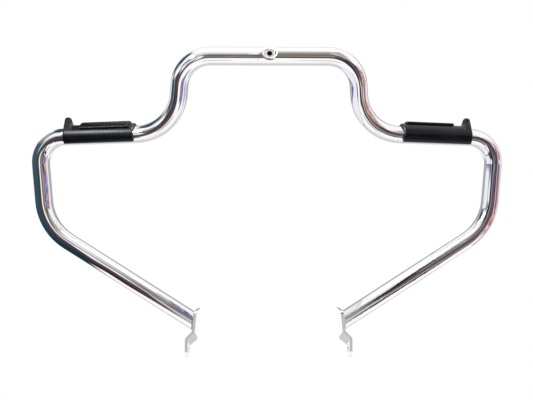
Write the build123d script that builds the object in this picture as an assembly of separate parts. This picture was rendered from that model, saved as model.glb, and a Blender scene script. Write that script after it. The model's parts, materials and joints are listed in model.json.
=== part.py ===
from build123d import *

import os
from math import acos, asin, atan2, cos, degrees, radians, sin, tan

# Crash bar for a cruiser motorcycle, in millimetres and degrees.
# +Z is up, +Y points to the back of the motorcycle, and the origin is on the tube's centre line
# at the bolt hole in the middle of the top bar.

# Section of the bent tube
tube_od = 31.75
tube_wall = 2.4

# Corners of the tube's centre line on the right half, counted out from the middle of the bar.
# The left half mirrors the right one.
shoulder_out = 154.0
elbow_out = 173.0
elbow_back = 58.0
elbow_drop = 129.0
corner_out = 435.0
corner_back = 82.0
corner_drop = 136.0
knee_out = 421.0
knee_back = 80.0
knee_drop = 306.0
foot_out = 139.5
foot_back = 69.8
foot_drop = 483.8

# Bend radius of the centre line at each corner
shoulder_radius = 58.0
elbow_radius = 90.0
corner_radius = 48.0
knee_radius = 100.0

# Bolt hole, its sleeve and the dimple pressed round it
bolt_tilt = 13.0
bolt_hole_d = 8.8
sleeve_od = 14.0
dimple_depth = 4.5
dimple_floor_d = 16.0
dimple_flare = 45.0
dimple_rim_radius = 4.0

# Tab welded across the end of each leg, with a joggle below the tube
tab_thickness = 5.0
tab_width = 38.0
tab_rise = 23.3
tab_toe = 2.5
tab_lean = 7.0
tab_corner_radius = 6.0
jog_start = 14.5
jog_drop = 13.0
jog_offset = 16.0
jog_radius = 5.0
jog_slant = 30.0
lobe_radius = 15.0
tab_hole_d = 13.5
tab_hole_drop = 50.7
weld_size = 3.0

# Rubber footrest, split along its underside
rest_length = 133.0
rest_wall = 5.2
rest_fit = 0.1
rest_end_gap = 3.4
rest_slit = 92.0
rest_end_radius = 3.2
rest_lip_radius = 1.2
scallop_radius = 30.0
scallop_depth = 2.4
scallop_rise = 4.0

# End stop at the outer end of the footrest
stop_height = 15.2
stop_width = 8.6
stop_nose_radius = 4.4
stop_crown_radius = 9.0
stop_sweep = 9.0
thumb_inset = 5.2
thumb_drop = 2.0
thumb_radius = 3.0
thumb_tip_radius = 1.2
thumb_tail = 10.0
thumb_depth = 2.2

# Raised tread along the footrest
tread_height = 4.5
tread_inner_margin = 8.0
tread_outer_margin = 33.0
tread_turn = 18.5
tread_spread = 81.0
tread_edge_radius = 1.5
tread_ramp_radius = 3.5
groove_count = 6
groove_pitch = 12.0
groove_width = 2.0
groove_depth = 1.5
groove_margin = 4.0

tube_radius = tube_od / 2
rest_radius = tube_radius + rest_wall
tread_radius = rest_radius + tread_height

shoulder = Vector(shoulder_out, 0, 0)
elbow = Vector(elbow_out, elbow_back, -elbow_drop)
corner = Vector(corner_out, corner_back, -corner_drop)
knee = Vector(knee_out, knee_back, -knee_drop)
foot = Vector(foot_out, foot_back, -foot_drop)
leg_axis = (foot - knee).normalized()

bolt_plane = Plane(
    origin=(0, 0, 0),
    x_dir=(1, 0, 0),
    z_dir=(0, -cos(radians(bolt_tilt)), sin(radians(bolt_tilt))),
)

# The right tab's upright plane, through the middle of the leg's end: x to the front, y up, z inwards
tab_plane = Plane(
    origin=foot,
    x_dir=(sin(radians(tab_toe)), -cos(radians(tab_toe)), 0),
    z_dir=(-cos(radians(tab_toe)), -sin(radians(tab_toe)), 0),
)

# The tab's head leans inwards from that plane, turned about a line along the slanting bends
jog_fall = tab_width * tan(radians(jog_slant))
bend_line = Axis(
    foot,
    tab_plane.x_dir * cos(radians(jog_slant)) + tab_plane.y_dir * sin(radians(jog_slant)),
)
head_plane = Plane(
    origin=foot,
    x_dir=bend_line.direction,
    z_dir=tab_plane.z_dir.rotate(bend_line, tab_lean),
)


def mirrored(shape):
    """The same shape on the other side of the motorcycle."""
    return mirror(shape, about=Plane.YZ)


def mirrored_point(point):
    """The same point on the other side of the motorcycle."""
    return Vector(-point.X, point.Y, point.Z)


def swept_tube(radius):
    """A solid rod along the whole centre line, running past both ends of the tube."""
    right = [shoulder, elbow, corner, knee, foot + leg_axis * tube_od]
    left = [mirrored_point(point) for point in reversed(right)]
    bends = [shoulder_radius, elbow_radius, corner_radius, knee_radius]
    line = FilletPolyline(*left, *right, radius=[*reversed(bends), *bends])
    start = Plane(origin=line @ 0, x_dir=(0, 1, 0), z_dir=line % 0)
    return sweep(start * Circle(radius), path=line)


def beyond_tab():
    """Everything inwards of the right tab's outer face, near the tube's end."""
    size = 4 * tube_od
    return head_plane * Pos(0, 0, size / 2) * Box(size, size, size)


def dimple_cone(grow):
    """The press tool's cone at the bolt hole, grown by a wall thickness."""
    flare = radians(dimple_flare)
    floor_radius = dimple_floor_d / 2 + grow * (1 / cos(flare) - tan(flare))
    height = tube_radius
    cone = Cone(
        floor_radius,
        floor_radius + height * tan(flare),
        height,
        align=(Align.CENTER, Align.CENTER, Align.MIN),
    )
    return bolt_plane * Pos(0, 0, tube_radius - dimple_depth - grow) * cone


def bolt_cylinder(diameter):
    """A rod along the bolt's axis, longer than the tube is wide."""
    return bolt_plane * Cylinder(diameter / 2, 2 * tube_od)


def dimpled_rod():
    """The outside of the tube, mitred at both tabs, with the dimple pressed in."""
    rod = swept_tube(tube_radius) - beyond_tab() - mirrored(beyond_tab())
    pressed = rod - dimple_cone(0)
    rim = [
        edge
        for edge in pressed.edges()
        if edge.center().length < tube_od and edge.geom_type not in (GeomType.LINE, GeomType.CIRCLE)
    ]
    return fillet(rim, dimple_rim_radius)


def main_tube(rod):
    """The bent tube: hollow, with an even wall through the dimple and a hole for the sleeve."""
    hollow = swept_tube(tube_radius - tube_wall) - dimple_cone(tube_wall)
    return rod - hollow - bolt_cylinder(sleeve_od)


def crush_sleeve(rod):
    """The sleeve that the bolt clamps, flush with the dimple's floor and the back of the tube."""
    return (bolt_cylinder(sleeve_od) - bolt_cylinder(bolt_hole_d)) & rod


def tab_outline():
    """The right tab's flat outline: a square head and a round lobe flush with the front edge."""
    half_width = tab_width / 2
    lobe = Vector(half_width - lobe_radius, -tab_hole_drop)
    back_corner = Vector(-half_width, -jog_start - jog_fall)
    away = back_corner - lobe
    lean = atan2(away.Y, away.X) + acos(lobe_radius / away.length)
    touch = lobe + Vector(cos(lean), sin(lean)) * lobe_radius
    front_low = Vector(half_width, lobe.Y)
    outline = make_face(
        [
            Polyline(front_low, (half_width, tab_rise), (-half_width, tab_rise), back_corner, touch),
            ThreePointArc(touch, lobe - Vector(0, lobe_radius), front_low),
        ]
    )
    return fillet(outline.vertices().group_by(Axis.Y)[-1], tab_corner_radius)


def joggled_strip():
    """A strip as wide as the tab, bent out below its leaning head and upright again at its lobe."""
    top = tab_rise + jog_fall + tab_thickness
    bottom = -(tab_hole_drop + 2 * lobe_radius)
    middle = jog_fall / 2
    lean = cos(radians(jog_slant)) * tan(radians(tab_lean))
    outer_face = FilletPolyline(
        ((top - middle) * lean, top),
        ((-jog_start - middle) * lean, -jog_start),
        (-jog_offset, -jog_start - jog_drop),
        (-jog_offset, bottom),
        radius=[jog_radius, jog_radius + tab_thickness],
    )
    section = make_face(offset(outer_face, amount=tab_thickness, side=Side.LEFT).edges())
    front = Plane(origin=(tab_width / 2, 0, 0), x_dir=(0, 0, 1), z_dir=(-1, 0, 0))
    slant = Vector(-tab_width, -jog_fall, 0)
    return extrude(front * section, amount=slant.length, dir=slant.normalized())


def right_tab():
    """The right mounting tab."""
    reach = jog_offset + 2 * tab_thickness
    blank = joggled_strip() & extrude(tab_outline(), amount=reach, both=True)
    hole_place = Pos(tab_width / 2 - lobe_radius, -tab_hole_drop, 0)
    return tab_plane * (blank - hole_place * Cylinder(tab_hole_d / 2, 4 * reach))


def right_weld():
    """The bead in the corner between the right leg and its tab, flat at its face and blunt at its rim."""
    axis = Vector(*(leg_axis.dot(way) for way in (head_plane.x_dir, head_plane.y_dir, head_plane.z_dir)))
    long_radius = tube_radius / abs(axis.Z)
    turn = Rot(0, 0, degrees(atan2(axis.Y, axis.X)))
    rim_grow = weld_size / 4
    foot_ring = turn * Ellipse(long_radius + weld_size, tube_radius + weld_size)
    rim_ring = turn * Ellipse(long_radius + rim_grow, tube_radius + rim_grow)
    rim_ring = Pos(axis * (-weld_size / axis.Z)) * rim_ring
    leg = Plane(origin=(0, 0, 0), z_dir=axis) * Cylinder(tube_radius, 8 * tube_od)
    bead = head_plane * (loft([foot_ring, rim_ring], ruled=True) - leg)
    return bead & tab_plane * extrude(tab_outline(), amount=jog_offset, both=True)


def stacked_circles(low_radius, high_radius, height):
    """The face round two circles, one above the other, and their outer tangents."""
    lean = asin((low_radius - high_radius) / height)
    low = Vector(low_radius * cos(lean), low_radius * sin(lean))
    high = Vector(high_radius * cos(lean), height + high_radius * sin(lean))
    low_left = Vector(-low.X, low.Y)
    high_left = Vector(-high.X, high.Y)
    return make_face(
        [
            ThreePointArc(low_left, (0, -low_radius), low),
            Line(low, high),
            ThreePointArc(high, (0, height + high_radius), high_left),
            Line(high_left, low_left),
        ]
    )


def stop_waste():
    """What a turning tool would take off inwards of the end stop: a flare below and a round nose above."""
    top = rest_radius + stop_height
    nose_z = top - stop_nose_radius
    wall_x = rest_length / 2 - stop_width
    toe_x = wall_x - stop_sweep
    inner_x = toe_x - stop_sweep
    outer_z = 2 * top
    toe = (toe_x, rest_radius)
    wall = (wall_x, nose_z)
    crest = (wall_x + stop_nose_radius, top + stop_nose_radius / 4)
    profile = make_face(
        [
            Bezier(toe, (wall_x, rest_radius), wall),
            Bezier(wall, (wall_x, top), crest),
            Polyline(crest, (crest[0], outer_z), (inner_x, outer_z), (inner_x, rest_radius), toe),
        ]
    )
    return revolve(Plane.XZ * profile, axis=Axis.X)


def thumb_scoop():
    """The drop-shaped hollow in one flank of the end stop, just below the stop's crown."""
    crown_z = rest_radius + stop_height - stop_crown_radius
    lean = asin((rest_radius - stop_crown_radius) / crown_z)
    outward = Vector(0, -cos(lean), sin(lean))
    upward = Vector(0, sin(lean), cos(lean))
    crown_edge = Vector(rest_length / 2 - thumb_inset, 0, crown_z) + outward * stop_crown_radius
    tail = crown_edge - upward * (thumb_drop + thumb_tail) + outward * (thumb_radius - thumb_depth)
    reach = 4 * thumb_tail
    half = stacked_circles(thumb_tip_radius, thumb_radius, thumb_tail)
    half = half & Pos(reach / 2, 0) * Rectangle(reach, reach)
    return Plane(origin=tail, x_dir=(1, 0, 0), z_dir=outward) * revolve(half, axis=Axis.Y)


def end_stop():
    """The outer end of the footrest: an upright stop that flares into the sleeve, with a thumb recess."""
    crown_z = rest_radius + stop_height - stop_crown_radius
    length = stop_width + stop_sweep
    outline = stacked_circles(rest_radius, stop_crown_radius, crown_z)
    block = Pos(rest_length / 2 - length, 0, 0) * extrude(Plane.YZ * outline, amount=length)
    block = fillet(block.faces().sort_by(Axis.X)[-1].edges(), rest_end_radius)
    return block - stop_waste() - thumb_scoop()


def sleeve():
    """The plain part of the footrest, up to the end stop, with a rounded lip at its inner end."""
    length = rest_length - stop_width - stop_sweep
    plain = Pos(-rest_length / 2, 0, 0) * extrude(Plane.YZ * Circle(rest_radius), amount=length)
    return fillet(plain.faces().sort_by(Axis.X)[0].edges(), rest_lip_radius)


def tread():
    """The raised pad that the boot rests on, with grooves that stop short of its rounded ends."""
    inner_end = -rest_length / 2 + tread_inner_margin
    length = rest_length - tread_inner_margin - tread_outer_margin
    reach = 2 * tread_radius
    half_angle = radians(tread_spread / 2)
    side = reach * sin(half_angle)
    top = reach * cos(half_angle)
    wedge = make_face(Polyline((0, 0), (side, top), (-side, top), close=True))
    pad = extrude(Plane.YZ * (Circle(tread_radius) & wedge), amount=length)
    pad = fillet(pad.faces().sort_by(Axis.X)[0].edges().filter_by(GeomType.CIRCLE), tread_ramp_radius)
    crest = pad.edges().filter_by(GeomType.LINE).filter_by(Axis.X).sort_by(Axis.Z)[-2:]
    crest += pad.faces().sort_by(Axis.X)[-1].edges().filter_by(GeomType.CIRCLE)
    pad = fillet(crest, tread_edge_radius)
    slot = SlotOverall(length - 2 * groove_margin, groove_width)
    groove = Pos(length / 2, 0, tread_radius - groove_depth) * extrude(slot, amount=2 * groove_depth)
    for index in range(groove_count):
        pad -= Rot((index - (groove_count - 1) / 2) * groove_pitch, 0, 0) * groove
    return Pos(inner_end, 0, 0) * Rot(-tread_turn, 0, 0) * pad


def footrest_body():
    """One footrest with its length along x, outer end to +x, before its bore is cut."""
    body = sleeve() + end_stop() + tread()
    reach = 2 * tread_radius
    half_slit = reach * tan(radians(rest_slit / 2))
    slit = make_face(Polyline((0, 0), (half_slit, -reach), (-half_slit, -reach), close=True))
    scallop_x = -rest_length / 2 + scallop_depth - scallop_radius
    scallop = Pos(scallop_x, 0, scallop_rise) * Rot(90, 0, 0) * Cylinder(scallop_radius, 2 * reach)
    return body - extrude(Plane.YZ * slit, amount=rest_length, both=True) - scallop


def footrest(outward, bore):
    """One footrest on the wing that runs outwards, with its bore cut along the tube itself."""
    turn = (corner - elbow).get_angle(knee - corner)
    tangent = corner_radius * tan(radians(turn / 2))
    from_corner = tangent + rest_end_gap + rest_length / 2
    wing_corner = corner if outward > 0 else mirrored_point(corner)
    wing_elbow = elbow if outward > 0 else mirrored_point(elbow)
    along = (wing_corner - wing_elbow).normalized()
    up = (Vector(0, 0, 1) - along * along.Z).normalized()
    seat = Plane(origin=wing_corner - along * from_corner, x_dir=along, z_dir=up)
    return seat * footrest_body() - bore


def save(shape, name):
    """Write one piece to its own file."""
    export_step(shape, os.path.join("parts", name + ".step"))


def build():
    """Make every piece and write it."""
    os.makedirs("parts", exist_ok=True)
    rod = dimpled_rod()
    tab = right_tab()
    weld = right_weld()
    rest_bore = swept_tube(tube_radius + rest_fit)
    save(main_tube(rod), "main_tube")
    save(crush_sleeve(rod), "crush_sleeve")
    save(tab, "mount_tab_right")
    save(mirrored(tab), "mount_tab_left")
    save(weld, "weld_right")
    save(mirrored(weld), "weld_left")
    save(footrest(1, rest_bore), "footrest_right")
    save(footrest(-1, rest_bore), "footrest_left")


build()
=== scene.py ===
"""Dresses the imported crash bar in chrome, weld beads and rubber, and sets up a photo studio round it."""

import json
import math
from typing import NamedTuple

import bmesh
import bpy
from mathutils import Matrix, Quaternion, Vector


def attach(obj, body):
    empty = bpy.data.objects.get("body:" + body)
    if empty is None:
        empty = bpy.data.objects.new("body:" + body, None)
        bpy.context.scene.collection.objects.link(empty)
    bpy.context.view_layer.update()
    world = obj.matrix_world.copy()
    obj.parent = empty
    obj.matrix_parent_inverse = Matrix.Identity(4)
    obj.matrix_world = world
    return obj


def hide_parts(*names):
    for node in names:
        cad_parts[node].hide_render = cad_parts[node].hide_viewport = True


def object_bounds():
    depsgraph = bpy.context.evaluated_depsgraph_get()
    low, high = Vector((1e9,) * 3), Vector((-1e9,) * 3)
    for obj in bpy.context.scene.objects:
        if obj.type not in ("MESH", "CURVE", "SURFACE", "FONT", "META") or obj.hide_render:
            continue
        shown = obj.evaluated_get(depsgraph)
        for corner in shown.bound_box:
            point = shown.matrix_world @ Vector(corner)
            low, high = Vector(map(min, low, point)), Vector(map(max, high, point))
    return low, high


bl_info = {
    "name": "Motorcycle Crash Bar",
    "version": (1, 0, 0),
    "blender": (4, 5, 0),
    "location": "3D View > Sidebar > Crash Bar",
    "description": "Finishes a chrome crash bar with rubber footrests and sets up its studio",
    "category": "Object",
}

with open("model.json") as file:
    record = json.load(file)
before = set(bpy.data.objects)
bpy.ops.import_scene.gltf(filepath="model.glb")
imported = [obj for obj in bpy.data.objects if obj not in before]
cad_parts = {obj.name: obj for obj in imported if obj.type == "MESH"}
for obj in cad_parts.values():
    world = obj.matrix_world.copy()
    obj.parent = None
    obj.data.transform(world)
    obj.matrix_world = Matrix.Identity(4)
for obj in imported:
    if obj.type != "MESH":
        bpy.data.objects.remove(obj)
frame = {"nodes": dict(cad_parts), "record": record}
NODES = frame["nodes"]
MOUNTS = {mount["name"]: mount for mount in frame["record"]["mounts"]}
CAD_BOX = [list(corner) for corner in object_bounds()]
MIDDLE = (Vector(CAD_BOX[0]) + Vector(CAD_BOX[1])) / 2
SIDES = ("left", "right")
BODY = "root"


# Values that a user would change


class CrashBarFinish(bpy.types.PropertyGroup):
    """Colours and gloss of the bar's surfaces"""

    chrome_bright: bpy.props.FloatVectorProperty(
        name="Chrome", description="Plating where it is thickest", subtype="COLOR", size=3,
        default=(0.97, 0.972, 0.978), min=0, max=1)
    chrome_warm: bpy.props.FloatVectorProperty(
        name="Chrome, thin", description="Plating where the nickel shows through a little",
        subtype="COLOR", size=3, default=(0.955, 0.948, 0.938), min=0, max=1)
    tube_gloss_low: bpy.props.FloatProperty(
        name="Tube roughness, low", description="Roughness of the best polished places",
        subtype="FACTOR", default=0.02, min=0, max=1)
    tube_gloss_high: bpy.props.FloatProperty(
        name="Tube roughness, high", description="Roughness of the hazier places",
        subtype="FACTOR", default=0.06, min=0, max=1)
    tab_gloss_low: bpy.props.FloatProperty(
        name="Tab roughness, low", description="Roughness along the polishing marks of the tabs",
        subtype="FACTOR", default=0.10, min=0, max=1)
    tab_gloss_high: bpy.props.FloatProperty(
        name="Tab roughness, high", description="Roughness across the polishing marks of the tabs",
        subtype="FACTOR", default=0.22, min=0, max=1)
    tab_edge: bpy.props.FloatProperty(
        name="Tab edge", description="Radius of the filed edges of the tabs", unit="LENGTH",
        subtype="DISTANCE", default=0.0007, min=0)
    # Painted shade: the bore colours darken unplated steel to near black for the shade in the hole
    shaded_bore_colour: bpy.props.FloatVectorProperty(
        name="Bare bore", description="Unplated steel inside the crush sleeve", subtype="COLOR", size=3,
        default=(0.010, 0.009, 0.009), min=0, max=1)
    shaded_bore_pale: bpy.props.FloatVectorProperty(
        name="Bare bore, scale", description="Mill scale on the unplated steel", subtype="COLOR", size=3,
        default=(0.020, 0.018, 0.018), min=0, max=1)
    bore_roughness: bpy.props.FloatProperty(
        name="Bore roughness", description="Roughness of the unplated steel",
        subtype="FACTOR", default=0.75, min=0, max=1)
    rubber_dark: bpy.props.FloatVectorProperty(
        name="Rubber", description="Moulded rubber of the footrests", subtype="COLOR", size=3,
        default=(0.0045, 0.0045, 0.0055), min=0, max=1)
    rubber_pale: bpy.props.FloatVectorProperty(
        name="Rubber, bloom", description="Rubber where the mould's bloom greys it", subtype="COLOR",
        size=3, default=(0.009, 0.009, 0.010), min=0, max=1)
    rubber_gloss_low: bpy.props.FloatProperty(
        name="Rubber roughness, low", description="Roughness of the smoother rubber",
        subtype="FACTOR", default=0.20, min=0, max=1)
    rubber_gloss_high: bpy.props.FloatProperty(
        name="Rubber roughness, high", description="Roughness of the duller rubber",
        subtype="FACTOR", default=0.26, min=0, max=1)
    # Painted reflection: a bluish tint on the rubber's gloss, standing for the bluish surroundings it
    # mirrors
    rubber_sheen: bpy.props.FloatVectorProperty(
        name="Rubber sheen", description="Tint of the rubber's gloss", subtype="COLOR", size=3,
        default=(0.84, 0.92, 1.0), min=0, max=1)
    rubber_sheen_level: bpy.props.FloatProperty(
        name="Rubber sheen level", description="Strength of the rubber's gloss",
        subtype="FACTOR", default=0.38, min=0, max=1)


class CrashBarWeld(bpy.types.PropertyGroup):
    """Form of the weld beads"""

    grain: bpy.props.FloatProperty(
        name="Grain", description="Spacing of the points that the bead's surface is made of",
        unit="LENGTH", subtype="DISTANCE", default=0.0006, min=0.0002)
    ripple_pitch: bpy.props.FloatProperty(
        name="Ripple pitch", description="Distance from one ripple of the bead to the next",
        unit="LENGTH", subtype="DISTANCE", default=0.0028, min=0.0005)
    ripple_height: bpy.props.FloatProperty(
        name="Ripple height", description="How far a ripple stands above the hollow beside it",
        unit="LENGTH", subtype="DISTANCE", default=0.0005, min=0)


class CrashBarStage(bpy.types.PropertyGroup):
    """Camera, floor and light"""

    camera_place: bpy.props.FloatVectorProperty(
        name="Camera place", description="Where the camera stands", unit="LENGTH", subtype="XYZ", size=3,
        default=(-0.0228, -1.0041, -0.2347))
    camera_aim: bpy.props.FloatVectorProperty(
        name="Camera aim", description="Point at the middle of the picture", unit="LENGTH", subtype="XYZ",
        size=3, default=(-0.0053, 0.0, -0.2526))
    camera_lens: bpy.props.FloatProperty(
        name="Lens", description="Focal length on a sensor 36 mm wide", unit="CAMERA",
        subtype="DISTANCE_CAMERA", default=38.42, min=1)
    floor_drop: bpy.props.FloatProperty(
        name="Floor drop", description="Floor below the tabs of the hanging bar", unit="LENGTH",
        subtype="DISTANCE", default=0.40, min=0)
    floor_radius: bpy.props.FloatProperty(
        name="Floor radius", description="Radius of the white floor sheet", unit="LENGTH",
        subtype="DISTANCE", default=0.75, min=0.1)
    floor_white: bpy.props.FloatVectorProperty(
        name="Floor", description="Colour of the floor sheet", subtype="COLOR", size=3,
        default=(0.88, 0.88, 0.88), min=0, max=1)
    floor_clear: bpy.props.FloatProperty(
        name="Floor clearness", description="Share of the floor that stays white where a shadow falls",
        subtype="FACTOR", default=0.93, min=0, max=1)
    fill_level: bpy.props.FloatProperty(
        name="Fill", description="Level of the soft light from all round", default=0.55, min=0)
    key_level: bpy.props.FloatProperty(
        name="Key lamp", description="How bright the face of the slim lamp on the left looks",
        default=25.0, min=0)
    top_level: bpy.props.FloatProperty(
        name="Top lamp", description="How bright the face of the wide lamp overhead looks",
        default=1.6, min=0)


# Helpers for materials

# Sockets of the Mix node that take and give colours, which share their names with its other sockets
MIX_FIRST, MIX_SECOND, MIX_RESULT = 6, 7, 2


def new_material(name):
    """An empty node material, and what adds nodes to it."""
    material = bpy.data.materials.new(name)
    material.use_nodes = True
    material.node_tree.nodes.clear()
    return material, Nodes(material.node_tree)


class Nodes:
    """Adds nodes to a tree and links them."""

    def __init__(self, tree):
        self.tree = tree

    def add(self, kind, settings=None, **inputs):
        """A node of that kind; an input is a value, or an output socket to link."""
        node = self.tree.nodes.new(kind)
        for name, value in (settings or {}).items():
            setattr(node, name, value)
        for name, value in inputs.items():
            self.put(node.inputs[name.replace("_", " ")], value)
        return node

    def put(self, socket, value):
        """Links an output to the socket, or sets its value."""
        if isinstance(value, bpy.types.NodeSocket):
            self.tree.links.new(value, socket)
        elif hasattr(value, "__len__") and len(value) == 3 and socket.type == "RGBA":
            socket.default_value = (*value, 1)
        else:
            socket.default_value = value

    def math(self, operation, first, second):
        """One sum on numbers."""
        node = self.add("ShaderNodeMath", {"operation": operation})
        self.put(node.inputs[0], first)
        self.put(node.inputs[1], second)
        return node.outputs[0]

    def ease(self, value, start, end, low=0.0, high=1.0):
        """A smooth step from low to high as the value goes from start to end."""
        node = self.add("ShaderNodeMapRange", {"interpolation_type": "SMOOTHSTEP"}, Value=value)
        for name, number in zip(("From Min", "From Max", "To Min", "To Max"), (start, end, low, high)):
            node.inputs[name].default_value = number
        return node.outputs["Result"]

    def blend(self, share, first, second):
        """A colour between two, by share."""
        node = self.add("ShaderNodeMix", {"data_type": "RGBA"})
        self.put(node.inputs["Factor"], share)
        self.put(node.inputs[MIX_FIRST], first)
        self.put(node.inputs[MIX_SECOND], second)
        return node.outputs[MIX_RESULT]

    def mix(self, share, first, second):
        """What shows between two shader nodes, by share."""
        node = self.add("ShaderNodeMixShader")
        for socket, value in zip(node.inputs, (share, first.outputs[0], second.outputs[0])):
            self.put(socket, value)
        return node.outputs[0]

    def noise(self, where, count=1.0, detail=2.0, roughness=0.5):
        """Soft clouds, that many to the metre; a stretched place brings its own count."""
        node = self.add(
            "ShaderNodeTexNoise", Vector=where, Scale=count, Detail=detail, Roughness=roughness)
        return node.outputs["Fac"]

    def stretched(self, where, counts):
        """The same place, for that many clouds to the metre along each axis."""
        node = self.add("ShaderNodeMapping", Vector=where, Scale=counts)
        return node.outputs["Vector"]

    def from_axis(self, where, axis):
        """How far the place is from the line through the origin along the axis."""
        along = self.add("ShaderNodeVectorMath", {"operation": "DOT_PRODUCT"})
        self.put(along.inputs[0], where)
        self.put(along.inputs[1], axis)
        foot = self.add("ShaderNodeVectorMath", {"operation": "SCALE"})
        self.put(foot.inputs[0], axis)
        self.put(foot.inputs["Scale"], along.outputs["Value"])
        away = self.add("ShaderNodeVectorMath", {"operation": "DISTANCE"})
        self.put(away.inputs[0], where)
        self.put(away.inputs[1], foot.outputs[0])
        return away.outputs["Value"]

    def place(self):
        """The point on the part, in metres."""
        return self.add("ShaderNodeTexCoord").outputs["Object"]

    def bump(self, height, distance, strength, below=None):
        """A surface normal that follows the height."""
        node = self.add("ShaderNodeBump", Height=height, Distance=distance, Strength=strength)
        if below is not None:
            self.put(node.inputs["Normal"], below)
        return node.outputs["Normal"]

    def finish(self, shader, output="ShaderNodeOutputMaterial"):
        """The shader that the material, or the world, shows."""
        self.tree.links.new(shader, self.add(output).inputs["Surface"])


def paint(node_name, material):
    """Gives a CAD node its finish."""
    mesh = NODES[node_name].data
    mesh.materials.clear()
    mesh.materials.append(material)


# Materials of the bar


def plating(nodes, clouds, finish):
    """Colour of chrome that is thicker in some places than in others, after the clouds."""
    thin = nodes.ease(clouds, start=0.35, end=0.7)
    return nodes.blend(thin, finish.chrome_bright, finish.chrome_warm)


def tube_chrome(finish):
    """Mirror chrome: faint plating clouds, long polishing waves and a fine haze."""
    material, nodes = new_material("tube_chrome")
    where = nodes.place()
    clouds = nodes.noise(where, count=14.0, detail=3.0)
    haze = nodes.noise(where, count=160.0, detail=4.0, roughness=0.6)
    waves = nodes.noise(where, count=55.0, detail=1.0)
    peel = nodes.noise(where, count=900.0)
    wavy = nodes.bump(waves, distance=0.0002, strength=0.10)
    gloss = nodes.ease(haze, start=0.3, end=0.75, low=finish.tube_gloss_low, high=finish.tube_gloss_high)
    shader = nodes.add(
        "ShaderNodeBsdfPrincipled", Metallic=1.0, Base_Color=plating(nodes, clouds, finish), Roughness=gloss,
        Normal=nodes.bump(peel, distance=0.00002, strength=0.12, below=wavy))
    nodes.finish(shader.outputs[0])
    return material


def tab_chrome(finish):
    """Chrome over sawn and filed plate: duller, with polishing marks along the tab."""
    material, nodes = new_material("tab_chrome")
    where = nodes.place()
    marks = nodes.noise(nodes.stretched(where, (900.0, 900.0, 70.0)), detail=3.0)
    clouds = nodes.noise(where, count=40.0, detail=3.0)
    rounded = nodes.add("ShaderNodeBevel", {"samples": 4}, Radius=finish.tab_edge)
    gloss = nodes.ease(marks, start=0.3, end=0.7, low=finish.tab_gloss_low, high=finish.tab_gloss_high)
    shader = nodes.add(
        "ShaderNodeBsdfPrincipled", Metallic=1.0, Base_Color=plating(nodes, clouds, finish), Roughness=gloss,
        Normal=nodes.bump(marks, distance=0.00003, strength=0.25, below=rounded.outputs[0]))
    nodes.finish(shader.outputs[0])
    return material


def weld_chrome(finish):
    """Plated weld metal: a satin surface with small pits."""
    material, nodes = new_material("weld_chrome")
    where = nodes.place()
    pits = nodes.noise(where, count=1400.0, detail=3.0, roughness=0.7)
    clouds = nodes.noise(where, count=220.0)
    gloss = nodes.ease(clouds, start=0.3, end=0.7, low=finish.tab_gloss_low, high=finish.tab_gloss_high)
    shader = nodes.add(
        "ShaderNodeBsdfPrincipled", Metallic=1.0, Base_Color=plating(nodes, clouds, finish), Roughness=gloss,
        Normal=nodes.bump(pits, distance=0.00006, strength=0.35))
    nodes.finish(shader.outputs[0])
    return material


def sleeve_chrome(finish):
    """Plated ends, and painted shade on unplated steel in the bore, whose axis runs through the origin."""
    material, nodes = new_material("sleeve_chrome")
    where = nodes.place()
    hole = MOUNTS["centre_bolt_hole"]
    bore = hole["dims"]["r_mm"] / 1000
    rim = 0.0004
    out = nodes.from_axis(where, Vector(hole["axis"]).normalized())
    plated = nodes.ease(out, start=bore + rim / 2, end=bore + rim)
    scale = nodes.noise(where, count=900.0, detail=4.0, roughness=0.65)
    # painted shade: near-black unplated steel for the shade in the bore, mottled by mill scale
    bare_and_shaded = nodes.blend(scale, finish.shaded_bore_colour, finish.shaded_bore_pale)
    gloss = nodes.ease(plated, start=0.0, end=1.0, low=finish.bore_roughness, high=finish.tube_gloss_high)
    shader = nodes.add(
        "ShaderNodeBsdfPrincipled", Metallic=plated, Roughness=gloss,
        Base_Color=nodes.blend(plated, bare_and_shaded, finish.chrome_bright),
        Normal=nodes.bump(scale, distance=0.00003, strength=0.3))
    nodes.finish(shader.outputs[0])
    return material


def footrest_rubber(finish):
    """Moulded rubber, half gloss, with a fine mould grain and a grey bloom."""
    material, nodes = new_material("footrest_rubber")
    where = nodes.place()
    bloom = nodes.noise(where, count=30.0, detail=4.0, roughness=0.6)
    grain = nodes.noise(where, count=2200.0)
    flow = nodes.noise(nodes.stretched(where, (25.0, 110.0, 110.0)))
    uneven = nodes.bump(flow, distance=0.0006, strength=0.03)
    greyed = nodes.ease(bloom, start=0.4, end=0.75)
    gloss = nodes.ease(
        bloom, start=0.3, end=0.7, low=finish.rubber_gloss_low, high=finish.rubber_gloss_high)
    shader = nodes.add(
        "ShaderNodeBsdfPrincipled", Roughness=gloss,
        Base_Color=nodes.blend(greyed, finish.rubber_dark, finish.rubber_pale),
        # painted reflection: the bluish gloss tint stands for the surroundings that the rubber mirrors
        Specular_IOR_Level=finish.rubber_sheen_level, Specular_Tint=finish.rubber_sheen,
        Normal=nodes.bump(grain, distance=0.00003, strength=0.03, below=uneven))
    nodes.finish(shader.outputs[0])
    return material


# Weld beads


def weld_bead(side, weld, material):
    """The bead of one leg, with the ripples that the torch leaves round it."""
    node_name = f"weld_{side}"
    plain = NODES[node_name].data.copy()
    bead = bpy.data.objects.new(f"weld_bead_{side}", plain)
    bpy.context.scene.collection.objects.link(bead)
    remesh = bead.modifiers.new("even_grain", "REMESH")
    remesh.mode = "VOXEL"
    remesh.voxel_size = weld.grain
    even = bpy.data.meshes.new_from_object(bead.evaluated_get(bpy.context.evaluated_depsgraph_get()))
    bead.modifiers.clear()
    bead.data = even
    even.name = bead.name
    bpy.data.meshes.remove(plain)
    ripple(even, Vector(MOUNTS[f"tab_hole_{side}"]["axis"]), weld)
    even.materials.clear()
    even.materials.append(material)
    even.shade_smooth()
    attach(bead, BODY)
    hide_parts(node_name)


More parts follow.
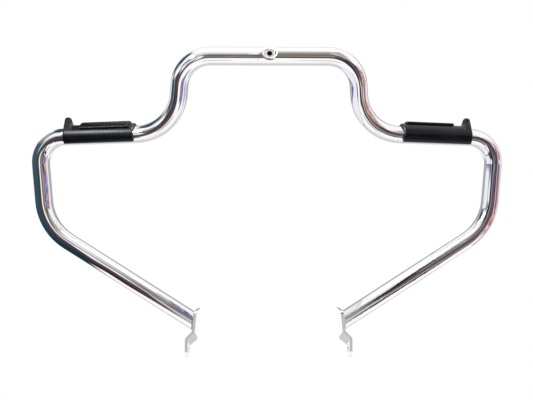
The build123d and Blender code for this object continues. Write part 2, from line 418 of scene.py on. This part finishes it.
def ripple(mesh, normal, weld):
    """Raises and lowers a ring's surface in even ripples round the axis through its middle."""
    corners = [vertex.co.copy() for vertex in mesh.vertices]
    middle = sum(corners, Vector()) / len(corners)
    across = normal.cross(Vector((0, 0, 1))).normalized()
    upward = across.cross(normal)
    spokes = [corner - middle for corner in corners]
    mean_radius = sum((spoke - normal * spoke.dot(normal)).length for spoke in spokes) / len(spokes)
    count = round(math.tau * mean_radius / weld.ripple_pitch)
    for vertex, spoke in zip(mesh.vertices, spokes):
        turn = math.atan2(spoke.dot(upward), spoke.dot(across))
        vertex.co += vertex.normal * weld.ripple_height / 2 * math.cos(count * turn)


# Studio


class Card(NamedTuple):
    """A card that the chrome mirrors; seen from above, it shows only on the left of its plan line."""

    name: str
    plan: tuple  # points of its line across the floor, X and Y
    heights: tuple  # of its foot and its head
    foot: tuple  # colour at the foot
    head: tuple  # colour at the head
    fades: tuple  # shares of the sheet over which its start, end, foot and head fade out
    flecks: float = 0.0  # share of the colour that the flecks take
    lean: float = 0.0  # how much further along Y the head stands than the foot


CARDS = (
    Card("left_drape", plan=((-0.62, 0.45), (-0.72, 0.05), (-0.66, -0.19)), heights=(-0.80, 0.28),
         foot=(0.010, 0.034, 0.052), head=(0.06, 0.12, 0.16), fades=(0.06, 0.03, 0.04, 0.3)),
    Card("left_head", plan=((-0.60, 0.62), (-0.72, 0.05), (-0.66, -0.19)), heights=(-0.02, 1.0),
         foot=(0.035, 0.070, 0.095), head=(0.07, 0.11, 0.14), fades=(0.1, 0.1, 0.25, 0.3)),
    Card("left_stand", plan=((-0.90, -0.30), (-0.50, -0.48)), heights=(-1.15, -0.06),
         foot=(0.022, 0.005, 0.005), head=(0.052, 0.043, 0.058),
         fades=(0.02, 0.05, 0.05, 0.06), flecks=0.04),
    Card("left_wall", plan=((-1.3, -0.9), (-0.02, -1.40)), heights=(-0.04, 1.25),
         foot=(0.58, 0.59, 0.61), head=(0.86, 0.86, 0.87), fades=(0.2, 0.04, 0.02, 0.4), flecks=0.05),
    Card("left_sill", plan=((-0.36, -1.24), (0.02, -1.24)), heights=(-0.80, -0.02),
         foot=(0.22, 0.19, 0.185), head=(0.15, 0.135, 0.13),
         fades=(0.12, 0.05, 0.05, 0.04), flecks=0.15),
    Card("left_rail", plan=((-0.36, -1.22), (0.02, -1.22)), heights=(-0.94, -0.68),
         foot=(0.014, 0.010, 0.009), head=(0.020, 0.013, 0.012), fades=(0.06, 0.05, 0.06, 0.15)),
    Card("left_low", plan=((-1.7, -0.8), (-0.36, -1.25)), heights=(-1.6, -0.18),
         foot=(0.075, 0.050, 0.050), head=(0.040, 0.020, 0.019),
         fades=(0.2, 0.06, 0.25, 0.2), flecks=0.1),
    Card("front_low", plan=((-0.02, -1.39), (0.80, -1.28)), heights=(-0.80, 0.02),
         foot=(0.13, 0.11, 0.10), head=(0.32, 0.275, 0.235), fades=(0.02, 0.3, 0.05, 0.03)),
    Card("front_wall", plan=((-0.02, -1.40), (0.62, -1.33)), heights=(-0.03, 1.2),
         foot=(0.32, 0.275, 0.24), head=(0.23, 0.23, 0.245), fades=(0.02, 0.4, 0.02, 0.4)),
    Card("front_brow", plan=((0.0, -1.42), (0.6, -1.37)), heights=(0.75, 3.6),
         foot=(0.62, 0.62, 0.62), head=(0.78, 0.76, 0.73), fades=(0.06, 0.3, 0.1, 0.25)),
    Card("side_wall", plan=((0.33, -1.36), (0.7, -1.30), (1.2, -0.99)), heights=(-0.85, 0.55),
         foot=(0.12, 0.088, 0.075), head=(0.56, 0.54, 0.51), fades=(0.03, 0.3, 0.05, 0.4)),
    Card("right_wall", plan=((0.40, -1.38), (0.85, -1.29), (1.35, -0.96)), heights=(0.1, 3.0),
         foot=(0.44, 0.43, 0.41), head=(0.46, 0.45, 0.44), fades=(0.3, 0.3, 0.1, 0.3)),
    Card("right_sill", plan=((-0.02, -1.24), (0.50, -1.22)), heights=(-0.90, -0.60),
         foot=(0.014, 0.009, 0.008), head=(0.022, 0.014, 0.012), fades=(0.06, 0.06, 0.06, 0.15)),
    Card("right_low", plan=((0.34, -1.27), (1.6, -0.8)), heights=(-1.6, -0.82),
         foot=(0.060, 0.044, 0.042), head=(0.070, 0.048, 0.042),
         fades=(0.03, 0.2, 0.25, 0.2), flecks=0.08),
    Card("right_post", plan=((0.60, -1.2), (1.25, -0.75)), heights=(-0.85, 0.16),
         foot=(0.17, 0.12, 0.10), head=(0.024, 0.014, 0.015),
         fades=(0.06, 0.06, 0.08, 0.12), flecks=0.03),
    Card("right_shelf", plan=((1.05, -0.75), (1.25, -0.2), (1.1, 0.45)), heights=(-0.8, 0.40),
         foot=(0.58, 0.40, 0.37), head=(0.62, 0.46, 0.43), fades=(0.06, 0.4, 0.12, 0.3), flecks=0.75),
    Card("left_glow", plan=((-0.60, 0.45), (-0.60, 0.137)), heights=(-0.08, 0.14),
         foot=(0.92, 0.92, 0.94), head=(0.92, 0.92, 0.94), fades=(0.1, 0.1, 0.2, 0.2)),
    Card("left_glint", plan=((-0.60, -0.05), (-0.56, -0.24)), heights=(-0.08, 0.14),
         foot=(1.0, 1.0, 1.0), head=(1.0, 1.0, 1.0), fades=(0.06, 0.06, 0.2, 0.2)),
    Card("left_haze", plan=((-0.97, -0.577), (-0.40, -0.96)), heights=(-0.06, 0.22),
         foot=(0.11, 0.14, 0.24), head=(0.24, 0.28, 0.36), fades=(0.1, 0.06, 0.2, 0.2), flecks=0.3),
    Card("left_pale", plan=((-1.15, -0.75), (-0.60, -1.02)), heights=(-0.46, -0.04),
         foot=(0.86, 0.87, 0.90), head=(0.86, 0.87, 0.90), fades=(0.06, 0.06, 0.1, 0.1), flecks=0.1),
    Card("front_rail", plan=((-0.40, -0.97), (0.08, -0.99), (0.56, -0.91)), heights=(-0.06, 0.17),
         foot=(0.085, 0.072, 0.068), head=(0.13, 0.11, 0.10), fades=(0.06, 0.06, 0.2, 0.2)),
    Card("right_rail", plan=((0.17, -0.30), (0.32, -0.37)), heights=(-0.42, -0.08),
         foot=(0.028, 0.024, 0.028), head=(0.042, 0.034, 0.036), fades=(0.1, 0.1, 0.1, 0.1)),
    Card("right_print", plan=((0.32, -1.20), (1.0, -0.95)), heights=(-0.46, -0.06),
         foot=(0.028, 0.036, 0.13), head=(0.042, 0.050, 0.15), fades=(0.1, 0.1, 0.2, 0.2), flecks=0.14),
    Card("left_flag", plan=((-0.30, -0.25), (-0.08, -0.25)), heights=(-0.72, -0.45),
         foot=(0.48, 0.48, 0.51), head=(0.56, 0.56, 0.58), fades=(0.1, 0.1, 0.1, 0.1)),
    Card("right_flag", plan=((0.08, -0.25), (0.32, -0.25)), heights=(-0.72, -0.45),
         foot=(0.48, 0.48, 0.51), head=(0.56, 0.56, 0.58), fades=(0.1, 0.1, 0.1, 0.1)),
    Card("middle_screen", plan=((0.0, 0.30), (0.0, -0.20)), heights=(-0.41, -0.11),
         foot=(0.86, 0.88, 0.92), head=(0.86, 0.88, 0.92), fades=(0.1, 0.1, 0.1, 0.1)),
    Card("middle_border", plan=((-0.01, 0.34), (-0.01, -0.24)), heights=(-0.44, -0.095),
         foot=(0.10, 0.10, 0.36), head=(0.12, 0.11, 0.36), fades=(0.04, 0.04, 0.05, 0.05), flecks=0.1),
    Card("middle_print", plan=((-0.02, -0.40), (-0.02, -0.02)), heights=(-0.31, -0.12),
         foot=(0.06, 0.12, 0.54), head=(0.09, 0.15, 0.54), fades=(0.1, 0.1, 0.12, 0.12), flecks=0.45),
    Card("left_far", plan=((-1.5, 0.9), (-1.5, -0.4)), heights=(-1.35, -0.35),
         foot=(0.58, 0.58, 0.60), head=(0.46, 0.46, 0.48), fades=(0.3, 0.3, 0.15, 0.25)),
    Card("right_far", plan=((1.5, -0.4), (1.5, 0.9)), heights=(-1.35, -0.35),
         foot=(0.58, 0.58, 0.60), head=(0.46, 0.46, 0.48), fades=(0.3, 0.3, 0.15, 0.25)),
    Card("back_wall", plan=((2.4, 0.7), (0.0, 1.7), (-2.4, 0.7)), heights=(-0.70, 1.6),
         foot=(0.42, 0.43, 0.46), head=(0.34, 0.35, 0.37), fades=(0.25, 0.25, 0.15, 0.4)),
    Card("back_low", plan=((2.4, 0.7), (0.0, 1.7), (-2.4, 0.7)), heights=(-2.2, -1.05),
         foot=(0.52, 0.52, 0.55), head=(0.46, 0.46, 0.49), fades=(0.25, 0.25, 0.2, 0.15)),
    Card("floor_cloth", plan=((0.75, 0.06), (-0.75, 0.06)), heights=(-0.92, -0.91),
         foot=(0.88, 0.88, 0.90), head=(0.50, 0.50, 0.53), fades=(0.2, 0.2, 0.3, 0.3), lean=0.7),
)
# Where each colour of the flecks starts in the noise, and the colour
FLECKS = ((0.0, (0.04, 0.020, 0.016)), (0.37, (0.06, 0.07, 0.30)), (0.43, (0.60, 0.42, 0.40)),
          (0.48, (0.90, 0.86, 0.85)), (0.53, (0.62, 0.14, 0.05)), (0.61, (0.07, 0.030, 0.024)))
FLECK_COUNTS = (2.6, 3.6, 1.0)  # flecks across and up a card
CARD_MAP = "card"
CARD_COLUMNS = 12
FLOOR_SEGMENTS = 96
SENSOR_WIDTH = 36.0  # millimetres
CLIP_START = 0.01  # metres in front of the camera


def in_direction(azimuth, elevation, distance):
    """A point that way from the middle of the bar; azimuth 0 is towards the camera's side, 90 is +X."""
    turn, rise = math.radians(azimuth), math.radians(elevation)
    level = math.cos(rise)
    return MIDDLE + distance * Vector((math.sin(turn) * level, -math.cos(turn) * level, math.sin(rise)))


def fleck_colour(nodes, sheet):
    """Patches of the flecks' colours, strewn over a card."""
    patches = nodes.noise(nodes.stretched(sheet, FLECK_COUNTS), detail=1.0)
    colours = nodes.add("ShaderNodeValToRGB", Fac=patches)
    ramp = colours.color_ramp
    ramp.interpolation = "CONSTANT"
    while len(ramp.elements) < len(FLECKS):
        ramp.elements.new(1.0)
    for element, (place, tint) in zip(ramp.elements, FLECKS):
        element.position = place
        element.color = (*tint, 1)
    return colours.outputs["Color"]


def card_material(card):
    """The glow of a card, which fades out at the edges; the other side of the card is clear."""
    material, nodes = new_material(card.name)
    material.cycles.emission_sampling = "NONE"
    sheet = nodes.add("ShaderNodeUVMap", {"uv_map": CARD_MAP}).outputs[0]
    spot = nodes.add("ShaderNodeSeparateXYZ", Vector=sheet)
    across, upward = spot.outputs["X"], spot.outputs["Y"]
    start, end, foot, head = card.fades
    edges = ((across, 0, start), (across, 1, 1 - end), (upward, 0, foot), (upward, 1, 1 - head))
    shown = nodes.add("ShaderNodeNewGeometry").outputs["Backfacing"]
    for way, clear_at, full_at in edges:
        shown = nodes.math("MULTIPLY", shown, nodes.ease(way, clear_at, full_at))
    plain = nodes.blend(nodes.ease(upward, start=0.1, end=0.9), card.foot, card.head)
    colour = nodes.blend(card.flecks, plain, fleck_colour(nodes, sheet))
    glow = nodes.add("ShaderNodeEmission", Color=colour, Strength=1.0)
    clear = nodes.add("ShaderNodeBsdfTransparent")
    nodes.finish(nodes.mix(shown, clear, glow))
    return material


def along_plan(plan, share):
    """The point at that share of a plan line; each of its spans takes an equal share."""
    span = min(int(share * (len(plan) - 1)), len(plan) - 2)
    first, second = Vector(plan[span]), Vector(plan[span + 1])
    return first.lerp(second, share * (len(plan) - 1) - span)


def reflection_card(card):
    """A standing or leaning sheet that only the bar's gloss sees."""
    shape = bmesh.new()
    layer = shape.loops.layers.uv.new(CARD_MAP)
    for column in range(CARD_COLUMNS):
        ends = []
        for share in (column / CARD_COLUMNS, (column + 1) / CARD_COLUMNS):
            place = along_plan(card.plan, share)
            ends.append([(shape.verts.new((place.x, place.y + card.lean * rise, height)), (share, rise))
                         for rise, height in enumerate(card.heights)])
        corners = [ends[0][0], ends[1][0], ends[1][1], ends[0][1]]
        face = shape.faces.new([vertex for vertex, spot in corners])
        for loop, (vertex, spot) in zip(face.loops, corners):
            loop[layer].uv = spot
    mesh = bpy.data.meshes.new(card.name)
    shape.to_mesh(mesh)
    shape.free()
    mesh.materials.append(card_material(card))
    sheet = bpy.data.objects.new(card.name, mesh)
    bpy.context.scene.collection.objects.link(sheet)
    for kind in ("camera", "diffuse", "transmission", "volume_scatter", "shadow"):
        setattr(sheet, f"visible_{kind}", False)


def seen_straight(nodes):
    """One where the camera, a mirror or a glass looks at the surface, nought where soft light does."""
    path = nodes.add("ShaderNodeLightPath")
    mirrored = nodes.math("MAXIMUM", path.outputs["Is Glossy Ray"], path.outputs["Is Transmission Ray"])
    return nodes.math("MAXIMUM", path.outputs["Is Camera Ray"], mirrored)


def floor_sheet(stage):
    """Matt where light falls on it, and white where it is seen, but for a trace of the bar's shadow."""
    material, nodes = new_material("floor_sheet")
    matt = nodes.add("ShaderNodeBsdfDiffuse", Color=stage.floor_white)
    white = nodes.add("ShaderNodeEmission", Color=(1, 1, 1), Strength=1.0)
    out = nodes.add("ShaderNodeVectorMath", {"operation": "LENGTH"})
    nodes.put(out.inputs[0], nodes.place())
    clear = nodes.ease(
        out.outputs["Value"], start=stage.floor_radius / 2, end=stage.floor_radius,
        low=stage.floor_clear, high=1.0)
    nodes.finish(nodes.mix(nodes.math("MULTIPLY", seen_straight(nodes), clear), matt, white))
    return material


def studio_floor(stage):
    """A round white floor sheet below the bar, which keeps the bar's soft shadow."""
    shape = bmesh.new()
    bmesh.ops.create_circle(shape, cap_ends=True, segments=FLOOR_SEGMENTS, radius=stage.floor_radius)
    mesh = bpy.data.meshes.new("floor")
    shape.to_mesh(mesh)
    shape.free()
    mesh.materials.append(floor_sheet(stage))
    floor = bpy.data.objects.new("floor", mesh)
    floor.location = (MIDDLE.x, MIDDLE.y, CAD_BOX[0][2] - stage.floor_drop)
    bpy.context.scene.collection.objects.link(floor)


def studio_world(stage):
    """White all round where it is seen, and a plain soft fill where it only lights."""
    world = bpy.data.worlds.new("studio")
    bpy.context.scene.world = world
    world.use_nodes = True
    world.node_tree.nodes.clear()
    nodes = Nodes(world.node_tree)
    fill = nodes.add("ShaderNodeBackground", Color=(1, 1, 1), Strength=stage.fill_level)
    white = nodes.add("ShaderNodeBackground", Color=(1, 1, 1), Strength=1.0)
    nodes.finish(nodes.mix(seen_straight(nodes), fill, white), "ShaderNodeOutputWorld")


def soft_box(name, azimuth, elevation, distance, width, height, level, turn=0.0):
    """A rectangular lamp that faces the bar, turned in its own plane; level is how bright its face looks."""
    lamp = bpy.data.lights.new(name, "AREA")
    lamp.shape = "RECTANGLE"
    lamp.size, lamp.size_y = width, height
    lamp.energy = level * math.pi * width * height
    box = bpy.data.objects.new(name, lamp)
    box.location = in_direction(azimuth, elevation, distance)
    aim = MIDDLE - box.location
    box.rotation_mode = "QUATERNION"
    box.rotation_quaternion = aim.to_track_quat("-Z", "Y") @ Quaternion((0, 0, 1), math.radians(turn))
    bpy.context.scene.collection.objects.link(box)


def studio_camera(stage):
    """The camera of the picture."""
    data = bpy.data.cameras.new("camera")
    data.sensor_fit = "HORIZONTAL"
    data.sensor_width = SENSOR_WIDTH
    data.lens = stage.camera_lens
    data.clip_start = CLIP_START
    camera = bpy.data.objects.new("camera", data)
    camera.location = stage.camera_place
    aim = Vector(stage.camera_aim) - camera.location
    camera.rotation_mode = "QUATERNION"
    camera.rotation_quaternion = aim.to_track_quat("-Z", "Y")
    bpy.context.scene.collection.objects.link(camera)
    bpy.context.scene.camera = camera


# Operators


class CRASHBAR_OT_plate_tube(bpy.types.Operator):
    """Chromes the bent main tube"""

    bl_idname = "crash_bar.plate_tube"
    bl_label = "Plate Tube"

    def execute(self, context):
        paint("main_tube", tube_chrome(context.scene.crash_bar_finish))
        return {"FINISHED"}


class CRASHBAR_OT_plate_sleeve(bpy.types.Operator):
    """Plates the ends of the crush sleeve, and paints shade on the unplated steel of its bore"""

    bl_idname = "crash_bar.plate_sleeve"
    bl_label = "Plate Sleeve"

    def execute(self, context):
        paint("crush_sleeve", sleeve_chrome(context.scene.crash_bar_finish))
        return {"FINISHED"}


class CRASHBAR_OT_plate_tabs(bpy.types.Operator):
    """Chromes the two mounting tabs"""

    bl_idname = "crash_bar.plate_tabs"
    bl_label = "Plate Tabs"

    def execute(self, context):
        material = tab_chrome(context.scene.crash_bar_finish)
        for side in SIDES:
            paint(f"mount_tab_{side}", material)
        return {"FINISHED"}


class CRASHBAR_OT_lay_weld_beads(bpy.types.Operator):
    """Lays a rippled bead where each leg meets its tab"""

    bl_idname = "crash_bar.lay_weld_beads"
    bl_label = "Lay Weld Beads"

    def execute(self, context):
        material = weld_chrome(context.scene.crash_bar_finish)
        for side in SIDES:
            weld_bead(side, context.scene.crash_bar_weld, material)
        return {"FINISHED"}


class CRASHBAR_OT_mould_footrests(bpy.types.Operator):
    """Gives both footrests their rubber"""

    bl_idname = "crash_bar.mould_footrests"
    bl_label = "Mould Footrests"

    def execute(self, context):
        material = footrest_rubber(context.scene.crash_bar_finish)
        for side in SIDES:
            paint(f"footrest_{side}", material)
        return {"FINISHED"}


class CRASHBAR_OT_set_stage(bpy.types.Operator):
    """Sets up the floor, the light, the reflection cards and the camera"""

    bl_idname = "crash_bar.set_stage"
    bl_label = "Set Stage"

    def execute(self, context):
        stage = context.scene.crash_bar_stage
        context.scene.view_settings.view_transform = "Standard"
        studio_world(stage)
        studio_floor(stage)
        studio_camera(stage)
        soft_box("key_box", azimuth=-40, elevation=30, distance=1.57, width=0.8, height=0.17,
                 level=stage.key_level, turn=-51)
        soft_box("top_box", azimuth=0, elevation=78, distance=2.2, width=1.8, height=1.2,
                 level=stage.top_level)
        for card in CARDS:
            reflection_card(card)
        return {"FINISHED"}


class CRASHBAR_PT_build(bpy.types.Panel):
    """Lists the steps that finish the bar, in order"""

    bl_idname = "CRASHBAR_PT_build"
    bl_label = "Crash Bar"
    bl_space_type = "VIEW_3D"
    bl_region_type = "UI"
    bl_category = "Crash Bar"

    def draw(self, context):
        column = self.layout.column(align=True)
        for step in STEPS:
            column.operator(step.bl_idname)
        for name in GROUPS:
            group = getattr(context.scene, name)
            box = self.layout.box()
            for value in group.__annotations__:
                box.prop(group, value)


GROUPS = {
    "crash_bar_finish": CrashBarFinish,
    "crash_bar_weld": CrashBarWeld,
    "crash_bar_stage": CrashBarStage,
}
STEPS = (
    CRASHBAR_OT_plate_tube,
    CRASHBAR_OT_plate_sleeve,
    CRASHBAR_OT_plate_tabs,
    CRASHBAR_OT_lay_weld_beads,
    CRASHBAR_OT_mould_footrests,
    CRASHBAR_OT_set_stage,
)


def register():
    """Makes the values, the steps and the panel known to Blender."""
    for kind in (*GROUPS.values(), *STEPS, CRASHBAR_PT_build):
        bpy.utils.register_class(kind)
    for name, group in GROUPS.items():
        setattr(bpy.types.Scene, name, bpy.props.PointerProperty(type=group))


def unregister():
    """Takes them out again, in the opposite order."""
    for name in reversed(GROUPS):
        delattr(bpy.types.Scene, name)
    for kind in reversed((*GROUPS.values(), *STEPS, CRASHBAR_PT_build)):
        bpy.utils.unregister_class(kind)


def main():
    """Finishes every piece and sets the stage."""
    register()
    bpy.ops.crash_bar.plate_tube()
    bpy.ops.crash_bar.plate_sleeve()
    bpy.ops.crash_bar.plate_tabs()
    bpy.ops.crash_bar.lay_weld_beads()
    bpy.ops.crash_bar.mould_footrests()
    bpy.ops.crash_bar.set_stage()


if __name__ == "__main__":
    main()
